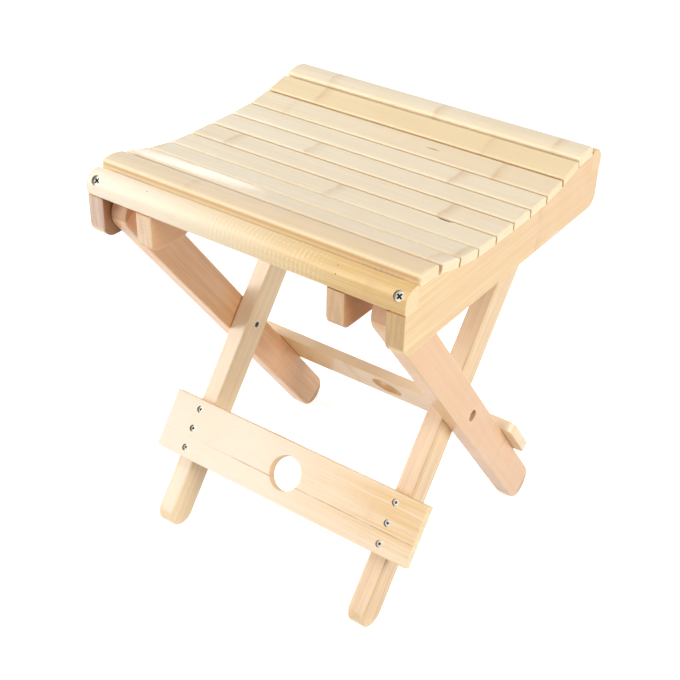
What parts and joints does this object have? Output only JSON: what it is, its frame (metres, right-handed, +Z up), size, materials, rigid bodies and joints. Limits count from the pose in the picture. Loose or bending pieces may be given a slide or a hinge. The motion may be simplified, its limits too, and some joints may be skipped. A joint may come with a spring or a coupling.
{
  "type": "folding stool",
  "caption": "Folding stool of laminated bamboo: a slatted saddle seat on crossed pivoting legs, which are joined by crossbars with round hand holes.",
  "frame": {"origin": "on the floor, under the middle of the seat", "axes": "+Z up, +X along the slats to the sitter's right as seen from the front, +Y to the rear"},
  "size_m": [0.3034, 0.306, 0.372],
  "materials": {
    "slat_bamboo": "clear satin lacquer over laminated bamboo",
    "apron_bamboo": "clear satin lacquer over laminated bamboo",
    "rail_bamboo": "clear satin lacquer over laminated bamboo",
    "outer_leg_bamboo": "clear satin lacquer over laminated bamboo",
    "inner_leg_bamboo": "clear satin lacquer over laminated bamboo",
    "crossbar_bamboo": "clear satin lacquer over laminated bamboo",
    "rod_wood": "plain dowel",
    "screw_steel": "zinc plated",
    "bolt_steel": "zinc plated",
    "nut_steel": "zinc plated"
  },
  "bodies": {
    "outer_legs": {"outer_leg_left": "outer_leg_bamboo", "outer_leg_right": "outer_leg_bamboo", "rear_crossbar": "crossbar_bamboo", "rear_crossbar_screws": "screw_steel", "pivot_bolt_left": "bolt_steel", "pivot_bolt_right": "bolt_steel", "sleeve_nut_left": "nut_steel", "sleeve_nut_right": "nut_steel"},
    "inner_legs": {"inner_leg_left": "inner_leg_bamboo", "inner_leg_right": "inner_leg_bamboo", "front_crossbar": "crossbar_bamboo", "front_crossbar_screws": "screw_steel", "seat_rod": "rod_wood"},
    "seat": {"seat_slat_01": "slat_bamboo", "seat_slat_02": "slat_bamboo", "seat_slat_03": "slat_bamboo", "seat_slat_04": "slat_bamboo", "seat_slat_05": "slat_bamboo", "seat_slat_06": "slat_bamboo", "seat_slat_07": "slat_bamboo", "seat_slat_08": "slat_bamboo", "seat_slat_09": "slat_bamboo", "seat_slat_10": "slat_bamboo", "front_apron": "apron_bamboo", "rear_apron": "apron_bamboo", "front_apron_screws": "screw_steel", "rear_apron_screws": "screw_steel", "side_rail_left": "rail_bamboo", "side_rail_right": "rail_bamboo", "front_block_left": "rail_bamboo", "front_block_right": "rail_bamboo", "rear_block_left": "rail_bamboo", "rear_block_right": "rail_bamboo", "hinge_screw_left": "bolt_steel", "hinge_screw_right": "bolt_steel"}
  },
  "joints": [
    {"name": "seat_fold", "type": "hinge", "parent": "outer_legs", "child": "seat", "pos_m": [0, -0.1281, 0.3288], "axis": [1, 0, 0], "range_deg": [0, 33]},
    {"name": "leg_scissor", "type": "hinge", "parent": "outer_legs", "child": "inner_legs", "pos_m": [0, -0.00385, 0.1657], "axis": [1, 0, 0], "range_deg": [0, 66]}
  ],
  "couplings": [
    {"joint": "leg_scissor", "follows": "seat_fold", "ratio": 2}
  ]
}
